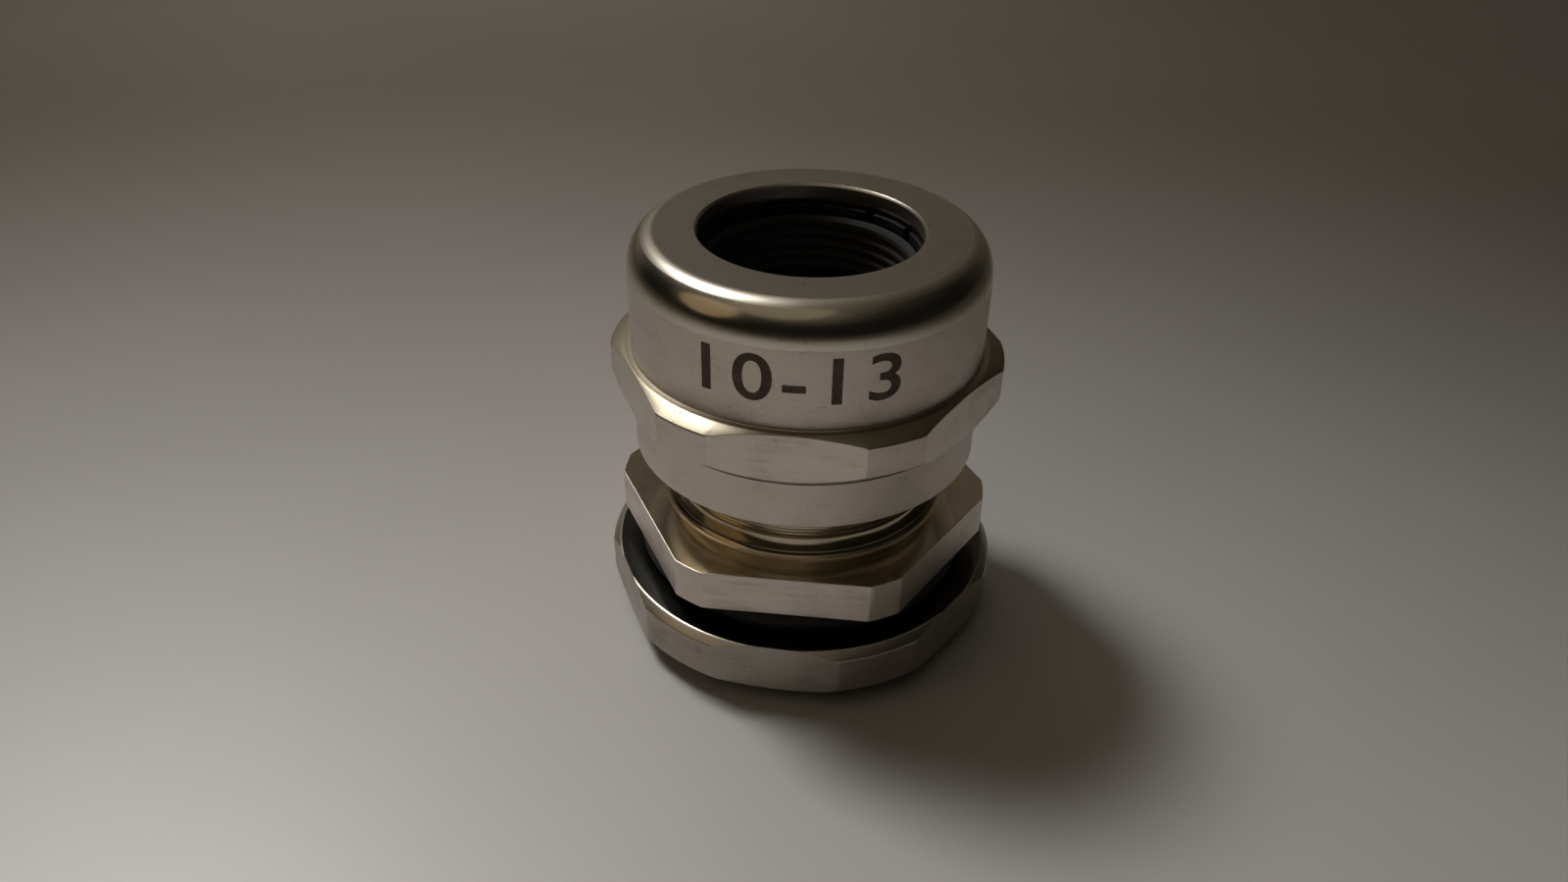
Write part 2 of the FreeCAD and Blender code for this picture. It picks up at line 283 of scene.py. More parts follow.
@dataclass(frozen=True)
class SoftFinish:
    """Rubber or plastic with a fine skin, a little dust and dull wear."""

    name: str
    tint: Colour
    dust: Colour
    roughness: float = 0.55
    skin: float = 0.3
    skin_scale: float = 3800.0
    dusting: float = 0.35
    sheen_level: float = 0.3

    def build(self) -> bpy.types.Material:
        """Make the material."""
        material, bench = new_material(self.name)
        place = bench.node("ShaderNodeTexCoord", output="Object")
        grain = bench.noise(place, self.skin_scale, 3.0, 0.6)
        cloud = bench.noise(place, 350.0, 3.0, 0.6)
        speck = 1.0 - bench.cells(place, 1100.0).between(0.03, 0.12)
        share = cloud.between(0.45, 0.75) * self.dusting + speck * (self.dusting * 0.6)
        colour = bench.mix(share, self.tint, self.dust)
        roughness = (grain - 0.5) * 0.2 + (cloud - 0.5) * 0.15 + self.roughness
        bump = bench.node(
            "ShaderNodeBump",
            {},
            {"Strength": self.skin, "Distance": 0.00003, "Height": grain},
        )
        shader = bench.node(
            "ShaderNodeBsdfPrincipled",
            {},
            {
                "Base Color": colour,
                "Roughness": roughness,
                "Specular IOR Level": self.sheen_level,
                "Normal": bump,
            },
        )
        bench.node("ShaderNodeOutputMaterial", {}, {0: shader})
        return material


@dataclass(frozen=True)
class MarkFinish:
    """Laser-darkened plate."""

    name: str
    tint: Colour = (0.070, 0.044, 0.032)
    edge: Colour = (0.17, 0.115, 0.085)

    def build(self) -> bpy.types.Material:
        """Make the material."""
        material, bench = new_material(self.name)
        place = bench.node("ShaderNodeTexCoord", output="Object")
        grain = bench.noise(place, 6500.0, 2.0, 0.7)
        cloud = bench.noise(place, 900.0, 2.0, 0.5)
        share = grain.between(0.45, 0.75) * 0.5 + cloud.between(0.4, 0.7) * 0.35
        colour = bench.mix(share, self.tint, self.edge)
        bump = bench.node(
            "ShaderNodeBump", {}, {"Strength": 0.25, "Distance": 0.00002, "Height": grain}
        )
        shader = bench.node(
            "ShaderNodeBsdfPrincipled",
            {},
            {
                "Base Color": colour,
                "Metallic": 0.35,
                "Roughness": (grain - 0.5) * 0.2 + 0.52,
                "Normal": bump,
            },
        )
        bench.node("ShaderNodeOutputMaterial", {}, {0: shader})
        return material


@dataclass(frozen=True)
class FloorFinish:
    """A plain pale sheet with a faint sheen."""

    name: str
    tint: Colour = (0.50, 0.485, 0.475)
    roughness: float = 0.42

    def build(self) -> bpy.types.Material:
        """Make the material."""
        material, bench = new_material(self.name)
        place = bench.node("ShaderNodeTexCoord", output="Object")
        cloud = bench.noise(place, 18.0, 3.0, 0.5)
        fibre = bench.noise(place, 900.0, 3.0, 0.6)
        dimmer = tuple(0.93 * part for part in self.tint)
        colour = bench.mix(cloud.between(0.3, 0.7), self.tint, dimmer)
        bump = bench.node(
            "ShaderNodeBump", {}, {"Strength": 0.08, "Distance": 0.00005, "Height": fibre}
        )
        shader = bench.node(
            "ShaderNodeBsdfPrincipled",
            {},
            {"Base Color": colour, "Roughness": self.roughness, "Normal": bump},
        )
        bench.node("ShaderNodeOutputMaterial", {}, {0: shader})
        return material


class Finish(Enum):
    """Every finish on the gland."""

    SATIN = PlateFinish(
        "satin_turned_plate",
        roughness=0.43,
        line_scale=3600.0,
        line_depth=0.5,
        line_height=0.03,
        line_tone=0.9,
        grain_tone=1.3,
        mottling=0.35,
    )
    MILLED = PlateFinish(
        "milled_plate",
        roughness=0.34,
        line_scale=2600.0,
        line_reach=190.0,
        line_depth=0.8,
        line_height=0.04,
        line_tone=2.4,
        grain_tone=0.8,
        unevenness=0.16,
        mottling=0.45,
    )
    # Painted shade: darker than the plain plate, standing in for the shadowed floor that the lock
    # nut's flats reflect.
    PAINTED_SHADE_FLATS = PlateFinish(
        "painted_shade_flat_plate",
        tint=(0.40, 0.36, 0.315),
        shade=(0.28, 0.25, 0.21),
        roughness=0.42,
        line_scale=3000.0,
        line_reach=190.0,
        line_depth=0.6,
        line_height=0.04,
        line_tone=1.8,
        grain_tone=0.8,
        unevenness=0.12,
    )
    # Tint darker than the plain plate: painted shade, set for the dome nut's top face.
    FACED = PlateFinish(
        "faced_plate",
        tint=(0.39, 0.355, 0.305),
        shade=(0.30, 0.27, 0.225),
        roughness=0.33,
        lay=Lay.RINGS,
        line_scale=6200.0,
        line_reach=90.0,
        line_depth=0.3,
        pits=0.8,
        line_tone=0.6,
        grain_tone=1.2,
    )
    # Painted shade and painted reflection: the dome nut's lower chamfer is darker and warmer than
    # the plain plate, to dim the lamp's highlight and show a gold-brown reflection.
    PAINTED_REFLECTION_CHAMFER = PlateFinish(
        "painted_warm_reflection_chamfer_plate",
        tint=(0.37, 0.33, 0.25),
        shade=(0.28, 0.24, 0.17),
        roughness=0.42,
        line_scale=3800.0,
        line_reach=140.0,
        line_depth=0.2,
        mottling=0.35,
        grain_tone=0.6,
    )
    # Rougher than the polished plate, and its tint darker: painted shade that dims the lamp's
    # highlight on the shoulder and the lock nut's chamfer.
    BLENDED = PlateFinish(
        "blended_edge_plate",
        tint=(0.52, 0.475, 0.40),
        shade=(0.42, 0.37, 0.29),
        roughness=0.33,
        line_scale=3800.0,
        line_reach=140.0,
        line_depth=0.15,
        mottling=0.35,
        grain_tone=0.6,
    )
    POLISHED = PlateFinish(
        "polished_plate",
        tint=(0.66, 0.615, 0.52),
        shade=(0.58, 0.52, 0.41),
        roughness=0.18,
        unevenness=0.07,
        line_scale=2600.0,
        line_reach=160.0,
        line_depth=0.05,
        mottling=0.35,
        pits=0.25,
    )
    # Painted reflection and shade: the neck's warm brown tint, darker than the plain plate, stands
    # in for the gold-brown reflection on it.
    NECK = PlateFinish(
        "polished_neck_painted_reflection_plate",
        tint=(0.57, 0.48, 0.34),
        shade=(0.36, 0.29, 0.19),
        roughness=0.15,
        unevenness=0.07,
        line_scale=2300.0,
        line_reach=190.0,
        line_depth=0.16,
        mottling=0.5,
        pits=0.5,
    )
    # Painted reflection and shade: the flange's top face takes a warm tint, darker than the plain
    # plate, standing in for the gold-brown reflection on it.
    LEDGE = PlateFinish(
        "ledge_painted_reflection_plate",
        tint=(0.50, 0.455, 0.36),
        shade=(0.34, 0.30, 0.22),
        roughness=0.17,
        unevenness=0.05,
        lay=Lay.RINGS,
        line_scale=1800.0,
        line_reach=160.0,
        line_depth=0.06,
        pits=0.5,
    )
    # Painted shade: the lock nut's top face is coloured near black where it lies in the dark gap
    # under the flange.
    PAINTED_SHADE_FACE = PlateFinish(
        "painted_shade_face_plate",
        tint=(0.085, 0.085, 0.080),
        shade=(0.045, 0.046, 0.043),
        roughness=0.2,
        lay=Lay.RINGS,
        line_scale=1800.0,
        line_reach=160.0,
        line_depth=0.05,
        pits=0.3,
    )
    BORED = PlateFinish("bored_plate", roughness=0.34, line_scale=3000.0, line_depth=0.3)
    MARK = MarkFinish("laser_mark")
    CAGE = SoftFinish(
        "cage_polyamide", (0.007, 0.007, 0.0075), (0.028, 0.027, 0.025), 0.5, 0.15, 5200.0, 0.15
    )
    INSERT = SoftFinish(
        "insert_rubber", (0.005, 0.005, 0.0055), (0.018, 0.017, 0.016), 0.68, dusting=0.2
    )
    RING = SoftFinish(
        "ring_rubber", (0.005, 0.005, 0.006), (0.016, 0.015, 0.014), 0.6, dusting=0.2
    )
    FLOOR = FloorFinish("pale_sheet")

    @property
    def material(self) -> bpy.types.Material:
        """The finish's material, made once."""
        found = bpy.data.materials.get(self.value.name)
        return found or self.value.build()


# ---------------------------------------------------------------- modelling


@dataclass(frozen=True)
class Corner:
    """A corner of a turned outline, in millimetres."""

    radius: float
    height: float
    round: float = 0.0

    @property
    def point(self) -> Vector:
        """The corner as a point in the XZ plane, in metres."""
        return Vector((self.radius * MM, 0.0, self.height * MM))


@dataclass(frozen=True)
class Groove:
    """A helical groove: its root, its mouth and its run, in millimetres."""

    root_radius: float
    root_half: float
    mouth_radius: float
    mouth_half: float
    start: float
    pitch: float
    turns: int


class Facing(Enum):
    """How a face looks from the axis."""

    ANY = "any way"
    UP = "along the axis"
    FLAT = "one of six flats"


@dataclass(frozen=True)
class Zone:
    """The faces that take one finish: a range of heights and radii, in millimetres."""

    finish: Finish
    low: float
    high: float
    inner: float
    outer: float
    facing: Facing = Facing.ANY
    flat_turn: float = 0.0

    def holds(self, centre: Vector, normal: Vector) -> bool:
        """Say whether a face belongs to the zone."""
        radius = math.hypot(centre.x, centre.y) / MM
        if not (self.low <= centre.z / MM <= self.high and self.inner <= radius <= self.outer):
            return False
        if self.facing is Facing.UP:
            return abs(normal.z) > 0.95
        if self.facing is Facing.FLAT:
            turn = math.degrees(math.atan2(normal.y, normal.x)) - self.flat_turn + 90
            return abs(normal.z) < 0.02 and abs((turn + 30) % 60 - 30) < 0.3
        return True


class Bench:
    """The hand tools: selection, edit-mode strokes and applied modifiers."""

    @staticmethod
    def alone(piece: bpy.types.Object) -> None:
        """Make a piece the only one selected, and active."""
        if bpy.context.object and bpy.context.object.mode != "OBJECT":
            bpy.ops.object.mode_set(mode="OBJECT")
        bpy.ops.object.select_all(action="DESELECT")
        piece.select_set(True)
        bpy.context.view_layer.objects.active = piece

    @staticmethod
    def pick(piece: bpy.types.Object, kind: str, test: Callable[[Any], bool]) -> int:
        """Select parts of a mesh in edit mode.

        Args:
            piece: The mesh object.
            kind: VERT, EDGE or FACE.
            test: Says which vertices, edges or faces to take.

        Returns:
            How many were taken.
        """
        Bench.alone(piece)
        bpy.ops.object.mode_set(mode="EDIT")
        bpy.ops.mesh.select_mode(type=kind)
        bpy.ops.mesh.select_all(action="DESELECT")
        bpy.ops.object.mode_set(mode="OBJECT")
        mesh = piece.data
        parts = {"VERT": mesh.vertices, "EDGE": mesh.edges, "FACE": mesh.polygons}[kind]
        count = 0
        for part in parts:
            part.select = test(part)
            count += part.select
        bpy.ops.object.mode_set(mode="EDIT")
        return count

    @staticmethod
    def modify(piece: bpy.types.Object, kind: str, **settings: Any) -> None:
        """Add a modifier, set it and apply it."""
        Bench.alone(piece)
        bpy.ops.object.modifier_add(type=kind)
        modifier = piece.modifiers[-1]
        for key, value in settings.items():
            setattr(modifier, key, value)
        bpy.ops.object.modifier_apply(modifier=modifier.name)

    @staticmethod
    def tidy(piece: bpy.types.Object, weld: float = WELD) -> None:
        """Merge doubled points and turn every face outwards."""
        Bench.alone(piece)
        bpy.ops.object.mode_set(mode="EDIT")
        bpy.ops.mesh.select_all(action="SELECT")
        bpy.ops.mesh.remove_doubles(threshold=weld)
        bpy.ops.mesh.normals_make_consistent(inside=False)
        bpy.ops.object.mode_set(mode="OBJECT")

    @staticmethod
    def outline(name: str, corners: list[Corner]) -> bpy.types.Object:
        """Extrude a chain of points round a closed outline and round its corners.

        Args:
            name: The new object's name.
            corners: The outline's corners in order.

        Returns:
            The outline object, a wire in the XZ plane.
        """
        bpy.ops.object.select_all(action="DESELECT")
        bpy.ops.mesh.primitive_plane_add(size=MM, location=corners[0].point)
        piece = bpy.context.object
        piece.name = piece.data.name = name
        bpy.ops.object.transform_apply(location=True)
        bpy.ops.object.mode_set(mode="EDIT")
        bpy.ops.mesh.select_mode(type="VERT")
        bpy.ops.mesh.select_all(action="SELECT")
        bpy.ops.mesh.merge(type="CENTER")
        path = [*corners, corners[0]]
        for before, after in zip(path, path[1:]):
            stroke = {"value": after.point - before.point}
            bpy.ops.mesh.extrude_vertices_move(TRANSFORM_OT_translate=stroke)
        bpy.ops.mesh.select_all(action="SELECT")
        bpy.ops.mesh.remove_doubles(threshold=WELD)
        count = len(corners)
        for i, corner in enumerate(corners):
            if not corner.round:
                continue
            back = corners[i - 1].point - corner.point
            ahead = corners[(i + 1) % count].point - corner.point
            reach = corner.round * MM / math.tan(back.angle(ahead) / 2)
            spot = corner.point
            Bench.pick(piece, "VERT", lambda v, s=spot: (v.co - s).length < WELD)
            steps = 3 if corner.round < 0.5 else 10
            bpy.ops.mesh.bevel(affect="VERTICES", offset=reach, segments=steps, profile=0.5)
        bpy.ops.object.mode_set(mode="OBJECT")
        return piece

    @staticmethod
    def lathe(name: str, corners: list[Corner], steps: int = LATHE_STEPS) -> bpy.types.Object:
        """Spin an outline about the Z axis into a closed shell.

        Args:
            name: The new object's name.
            corners: The outline's corners in order.
            steps: Faces around the axis.

        Returns:
            The turned piece.
        """
        piece = Bench.outline(name, corners)
        bpy.ops.object.mode_set(mode="EDIT")
        bpy.ops.mesh.select_all(action="SELECT")
        bpy.ops.mesh.spin(steps=steps, angle=TURN, center=(0, 0, 0), axis=(0, 0, 1))
        bpy.ops.object.mode_set(mode="OBJECT")
        Bench.tidy(piece)
        return piece

    @staticmethod
    def mill_flats(piece: bpy.types.Object, half: float) -> None:
        """Cut six flats.

        Args:
            piece: A turned piece about the Z axis.
            half: Half the width across the flats, in millimetres.
        """
        for side in range(6):
            angle = math.radians(-90 + 60 * side)
            out = Vector((math.cos(angle), math.sin(angle), 0.0))
            Bench.alone(piece)
            bpy.ops.object.mode_set(mode="EDIT")
            bpy.ops.mesh.select_all(action="SELECT")
            bpy.ops.mesh.bisect(
                plane_co=out * half * MM,
                plane_no=out,
                use_fill=True,
                clear_outer=True,
                threshold=1e-8,
            )
            bpy.ops.object.mode_set(mode="OBJECT")

    @staticmethod
    def ease_edges(piece: bpy.types.Object, width: float, low: float, high: float) -> None:
        """Bevel the sharp outer edges between two heights.

        Args:
            piece: The piece.
            width: The bevel's width, in millimetres.
            low: The lowest height, in millimetres.
            high: The highest height, in millimetres.
        """
        Bench.alone(piece)
        bpy.ops.object.mode_set(mode="EDIT")
        bpy.ops.mesh.select_mode(type="EDGE")
        bpy.ops.mesh.select_all(action="DESELECT")
        bpy.ops.mesh.edges_select_sharp(sharpness=math.radians(SHARP))
        bpy.ops.object.mode_set(mode="OBJECT")
        mesh = piece.data
        sharp = {edge.index for edge in mesh.edges if edge.select}

        def outer(edge: bpy.types.MeshEdge) -> bool:
            """Keep a sharp edge that lies outside and between the heights."""
            ends = [mesh.vertices[i].co for i in edge.vertices]
            inside = all(low * MM <= end.z <= high * MM for end in ends)
            outside = all(end.xy.length > OUTER_WALL * MM for end in ends)
            return edge.index in sharp and inside and outside

        Bench.pick(piece, "EDGE", outer)
        bpy.ops.mesh.bevel(offset=width * MM, segments=2, profile=0.5, clamp_overlap=True)
        bpy.ops.object.mode_set(mode="OBJECT")

    @staticmethod
    def cut_groove(piece: bpy.types.Object, groove: Groove) -> None:
        """Subtract a helical groove.

        Args:
            piece: The piece that gets the thread.
            groove: The groove's form and run.
        """
        low, high = groove.start - groove.root_half, groove.start + groove.root_half
        mouth_low, mouth_high = groove.start - groove.mouth_half, groove.start + groove.mouth_half
        form = [
            Corner(groove.root_radius, low),
            Corner(groove.mouth_radius, mouth_low),
            Corner(groove.mouth_radius, mouth_high),
            Corner(groove.root_radius, high),
        ]
        cutter = Bench.outline(piece.name + "_cutter", form)
        Bench.modify(
            cutter,
            "SCREW",
            axis="Z",
            angle=TURN,
            screw_offset=groove.pitch * MM,
            iterations=groove.turns,
            steps=THREAD_STEPS,
            render_steps=THREAD_STEPS,
            use_merge_vertices=False,
        )
        bpy.ops.object.mode_set(mode="EDIT")
        bpy.ops.mesh.select_mode(type="VERT")
        bpy.ops.mesh.select_all(action="DESELECT")
        bpy.ops.mesh.select_non_manifold()
        bpy.ops.mesh.fill_holes(sides=4)
        bpy.ops.object.mode_set(mode="OBJECT")
        Bench.tidy(cutter, TOUCHING)
        Bench.modify(piece, "BOOLEAN", operation="DIFFERENCE", solver="EXACT", object=cutter)
        bpy.data.objects.remove(cutter)
        Bench.tidy(piece, SLIVER)

    @staticmethod
    def turn_about_axis(piece: bpy.types.Object, degrees: float) -> None:
        """Turn a piece about the Z axis and keep the turn in its mesh."""
        Bench.alone(piece)
        piece.rotation_euler = (0.0, 0.0, math.radians(degrees))
        bpy.ops.object.transform_apply(location=True, rotation=True, scale=True)

    @staticmethod
    def finish_surface(piece: bpy.types.Object, angle: float = 28.0) -> None:
        """Shade smooth up to an angle, with large faces kept flat."""
        Bench.alone(piece)
        bpy.ops.object.shade_smooth_by_angle(angle=math.radians(angle))
        Bench.modify(piece, "WEIGHTED_NORMAL", mode="FACE_AREA", weight=60, keep_sharp=True)

    @staticmethod
    def dress(piece: bpy.types.Object, zones: list[Zone], rest: Finish) -> None:
        """Give each face the finish of the first zone that holds it.

        Args:
            piece: The piece.
            zones: The zones, the most particular first.
            rest: The finish of every other face.
        """
        finishes = [rest, *dict.fromkeys(zone.finish for zone in zones)]
        piece.data.materials.clear()
        for finish in finishes:
            piece.data.materials.append(finish.material)
        for face in piece.data.polygons:
            held = (zone.finish for zone in zones if zone.holds(face.center, face.normal))
            face.material_index = finishes.index(next(held, rest))


def attach(piece: bpy.types.Object, body: str, slot: str, *nodes: str) -> None:
    """Ride a piece on a body in place of CAD nodes.

    Args:
        piece: The finished piece.
        body: The CAD body it moves with.
        slot: The record's material slot; not used.
        nodes: The CAD nodes it stands for.
    """
    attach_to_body(piece, body)
    if nodes:
        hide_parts(*nodes)
    LOG.info("%s rides on %s with %d faces", piece.name, body, len(piece.data.polygons))


# ---------------------------------------------------------------- sub-assemblies


@dataclass
class GlandBody:
    """The body: threaded shank, hexagon flange, burnished neck and upper thread."""

    passage: float = 7.25
    shank: float = 11.25
    shank_chamfer: float = 0.649
    shank_high: float = 4.251
    undercut: float = 9.95
    undercut_low: float = 4.9
    flange_low: float = 6.5
    flange_high: float = 9.4
    flange_half: float = 11.5
    flange_corner: float = 12.7
    neck: float = 9.15
    neck_high: float = 13.1
    neck_fillet: float = 0.6
    upper: float = 10.0
    top: float = 19.0
    top_chamfer: float = 0.8
    seat: float = 8.0
    seat_low: float = 13.9
    edge: float = 0.06
    scores: tuple[float, ...] = (10.9, 11.16, 11.4, 11.62)
    score_half: float = 0.07
    score_depth: float = 0.03
    score_growth: float = 0.014
    upper_thread: Groove = Groove(9.2, 0.165, 10.05, 0.655, 11.6, 1.5, 6)
    shank_thread: Groove = Groove(10.601, 0.0804, 11.3, 0.667, -1.411, 1.411, 5)

    def neck_scores(self) -> list[Corner]:
        """The fine rings where the thread runs out on the neck."""
        rings: list[Corner] = []
        for i, height in enumerate(self.scores):
            depth = self.score_depth + self.score_growth * i
            rings += [
                Corner(self.neck, height - self.score_half),
                Corner(self.neck - depth, height),
                Corner(self.neck, height + self.score_half),
            ]
        return rings

    def corners(self) -> list[Corner]:
        """The turned outline."""
        return [
            Corner(self.passage + 0.5, 0.0, 0.05),
            Corner(self.shank - self.shank_chamfer, 0.0, 0.05),
            Corner(self.shank, self.shank_chamfer, 0.05),
            Corner(self.shank, self.shank_high, 0.05),
            Corner(self.undercut, self.undercut_low),
            Corner(self.undercut, self.flange_low, 0.2),
            Corner(self.flange_corner, self.flange_low),
            Corner(self.flange_corner, self.flange_high),
            Corner(self.neck, self.flange_high, self.neck_fillet),
            *self.neck_scores(),
            Corner(self.neck, self.neck_high),
            Corner(self.upper, self.neck_high + 0.4),
            Corner(self.upper, self.top - self.top_chamfer),
            Corner(self.upper - self.top_chamfer, self.top, 0.05),
            Corner(self.seat + 0.25, self.top, 0.05),
            Corner(self.seat, self.top - 0.25),
            Corner(self.seat, self.seat_low),
            Corner(self.passage, self.seat_low, 0.05),
            Corner(self.passage, 0.5),
        ]

    def build(self) -> bpy.types.Object:
        """Turn, mill, ease and thread the body, and dress it."""
        piece = Bench.lathe("gland_body_plated", self.corners())
        Bench.mill_flats(piece, self.flange_half)
        Bench.ease_edges(piece, self.edge, self.flange_low - 0.1, self.flange_high + 0.1)
        Bench.cut_groove(piece, self.upper_thread)
        Bench.cut_groove(piece, self.shank_thread)
        Bench.finish_surface(piece)
        zones = [
            Zone(Finish.MILLED, 6.4, 9.5, 11.3, 13.0, Facing.FLAT),
            # Painted warm reflection and shade on the flange's top face.
            Zone(Finish.LEDGE, 9.2, 9.5, 9.9, 12.75, Facing.UP),
            # Painted warm reflection and shade on the neck.
            Zone(Finish.NECK, 9.35, 13.2, 9.0, 10.2),
            Zone(Finish.SATIN, 6.4, 9.5, 11.2, 13.0),
            Zone(Finish.FACED, -0.1, 0.1, 7.0, 11.0, Facing.UP),
        ]
        Bench.dress(piece, zones, Finish.BORED)
        attach(piece, "gland", "plated_body", "gland_body")
        return piece


@dataclass
class DomeNut:
    """The dome nut: collar, hexagon, marked band and rounded shoulder."""

    low: float = 13.5
    collar: float = 11.45
    collar_high: float = 16.9
    corner: float = 12.9
    corner_low: float = 18.04
    corner_high: float = 20.12
    half: float = 12.0
    band: float = 11.5
    band_low: float = 20.6
    top: float = 28.3
    shoulder: float = 1.8
    shoulder_drop: float = 2.45
    hole: float = 7.1
    cone_foot: float = 9.4
    relief: float = 10.3
    relief_low: float = 20.7
    relief_high: float = 22.9
    bore: float = 9.3
    thread: Groove = Groove(9.25, 0.656, 10.1, 0.1657, 10.85, 1.5, 7)
    turn: float = -0.6
    edge: float = 0.05
    marking: str = "10-13"
    mark_height: float = 3.1
    mark_turn: float = -89.0
    mark_base: float = 22.45
    mark_lift: float = 0.012
    mark_weight: float = 0.045
    mark_stretch: float = 1.22
    mark_spacing: float = 1.12
    mark_strips: int = 60
    capital_share: float = 0.73

    def shoulder_arc(self) -> list[Corner]:
        """The rounded shoulder, a little taller than it is wide."""
        middle, foot = self.band - self.shoulder, self.top - self.shoulder_drop
        turns = [math.radians(6.0 * i) for i in range(16)]
        return [
            Corner(middle + self.shoulder * math.cos(a), foot + self.shoulder_drop * math.sin(a))
            for a in turns
        ]

    def corners(self) -> list[Corner]:
        """The turned outline."""
        return [
            Corner(self.bore + 0.8, self.low, 0.04),
            Corner(self.collar - 0.15, self.low),
            Corner(self.collar, self.low + 0.15),
            Corner(self.collar, self.collar_high - 0.16),
            Corner(self.collar - 0.05, self.collar_high - 0.08),
            Corner(self.collar, self.collar_high),
            Corner(self.corner, self.corner_low, 0.12),
            Corner(self.corner, self.corner_high, 0.12),
            Corner(self.half - 0.1, self.band_low, 0.04),
            Corner(self.band, self.band_low, 0.1),
            *self.shoulder_arc(),
            Corner(self.hole + 0.15, self.top, 0.05),
            Corner(self.hole, self.top - 0.15, 0.05),
            Corner(self.hole, self.top - 0.9, 0.05),
            Corner(self.cone_foot, self.relief_high),
            Corner(self.relief, self.relief_high),
            Corner(self.relief, self.relief_low),
            Corner(self.bore, self.relief_low),
            Corner(self.bore, self.low + 0.8),
        ]

    def build(self) -> bpy.types.Object:
        """Turn, mill, ease and thread the nut, and dress it."""
        piece = Bench.lathe("dome_nut_plated", self.corners())
        Bench.mill_flats(piece, self.half)
        Bench.ease_edges(piece, self.edge, self.collar_high + 0.2, self.band_low - 0.02)
        Bench.cut_groove(piece, self.thread)
        Bench.turn_about_axis(piece, self.turn)
        Bench.finish_surface(piece)
        zones = [
            Zone(Finish.MILLED, 16.8, 20.7, 11.6, 13.0, Facing.FLAT, self.turn),
            # Painted shade: the top face takes the darker faced tint.
            Zone(Finish.FACED, 28.2, 28.4, 7.0, 9.8),
            # Painted shade: the darker blended tint on the shoulder's top.
            Zone(Finish.BLENDED, 27.95, 28.4, 9.6, 11.0),
            Zone(Finish.POLISHED, 25.87, 28.4, 9.6, 11.6),
            # Painted shade and painted gold-brown reflection on the lower chamfer.
            Zone(Finish.PAINTED_REFLECTION_CHAMFER, 20.05, 20.62, 11.45, 13.0),
            Zone(Finish.SATIN, 13.4, 26.6, 11.2, 13.0),
        ]
        Bench.dress(piece, zones, Finish.BORED)
        attach(piece, "top_nut", "plated_nut", "dome_nut")
        self.mark()
        return piece

    def mark(self) -> bpy.types.Object:
        """Wrap plain numbers round the band, a hair proud of it."""
        bpy.ops.object.select_all(action="DESELECT")
        bpy.ops.object.text_add()
        label = bpy.context.object
        label.data.body = self.marking
        label.data.align_x = "CENTER"
        label.data.size = self.mark_height * MM / self.capital_share
        label.data.space_character = self.mark_spacing
        label.data.offset = self.mark_weight * MM
        label.data.extrude = self.mark_lift * MM
        label.data.resolution_u = 6
        bpy.ops.object.convert(target="MESH")
        label = bpy.context.object
        label.name = label.data.name = "band_mark"
        width = label.dimensions.x
        for i in range(1, self.mark_strips):
            Bench.alone(label)
            bpy.ops.object.mode_set(mode="EDIT")
            bpy.ops.mesh.select_all(action="SELECT")
            spot = Vector(((i / self.mark_strips - 0.5) * width * 1.02, 0.0, 0.0))
            bpy.ops.mesh.bisect(plane_co=spot, plane_no=(1.0, 0.0, 0.0), threshold=1e-8)
            bpy.ops.object.mode_set(mode="OBJECT")
        reach = self.band * MM
        for vertex in label.data.vertices:
            along, up, out = vertex.co
            angle = math.radians(self.mark_turn) + along * self.mark_stretch / reach
            radius = reach + out
            vertex.co = Vector(
                (radius * math.cos(angle), radius * math.sin(angle), self.mark_base * MM + up)
            )
        Bench.tidy(label, TOUCHING)
        Bench.dress(label, [], Finish.MARK)
        attach(label, "top_nut", "plated_nut")
        return label


@dataclass
class LockNut:
    """The lock nut: a chamfered hexagon with a thread right through."""

    low: float = 1.25
    height: float = 3.6
    half: float = 12.95
    corner: float = 13.6
    bore: float = 10.7
    thread: Groove = Groove(10.651, 0.6831, 11.35, 0.0967, -0.7055, 1.411, 7)
    turn: float = -2.5

    def corners(self) -> list[Corner]:
        """The turned outline."""
        top = self.low + self.height
        return [
            Corner(self.bore + 0.4, self.low, 0.05),
            Corner(self.half - 0.05, self.low, 0.25),
            Corner(self.corner, self.low + 0.4, 0.25),
            Corner(self.corner, top - 0.5, 0.2),
            Corner(self.half + 0.1, top, 0.3),
            Corner(self.bore + 0.4, top, 0.05),
            Corner(self.bore, top - 0.4),
            Corner(self.bore, self.low + 0.4),
        ]

    def build(self) -> bpy.types.Object:
        """Turn, mill and thread the lock nut, and dress it."""
        piece = Bench.lathe("lock_nut_plated", self.corners())
        Bench.mill_flats(piece, self.half)
        Bench.cut_groove(piece, self.thread)
        Bench.turn_about_axis(piece, self.turn)
        Bench.finish_surface(piece)
        zones = [
            # Painted shade on the lock nut's flats and corners.
            Zone(Finish.PAINTED_SHADE_FLATS, 1.2, 4.9, 12.4, 13.7, Facing.FLAT, self.turn),
            # Painted shade: the near-black top face in the gap under the flange.
            Zone(Finish.PAINTED_SHADE_FACE, 4.8, 4.9, 11.0, 13.2, Facing.UP),
            Zone(Finish.BLENDED, 4.2, 4.9, 12.4, 13.7),
            Zone(Finish.FACED, 1.2, 1.3, 11.0, 13.0, Facing.UP),
            Zone(Finish.PAINTED_SHADE_FLATS, 1.2, 4.9, 12.4, 13.7),
        ]
        Bench.dress(piece, zones, Finish.BORED)
        attach(piece, "back_nut", "plated_lock_nut", "lock_nut")
        return piece


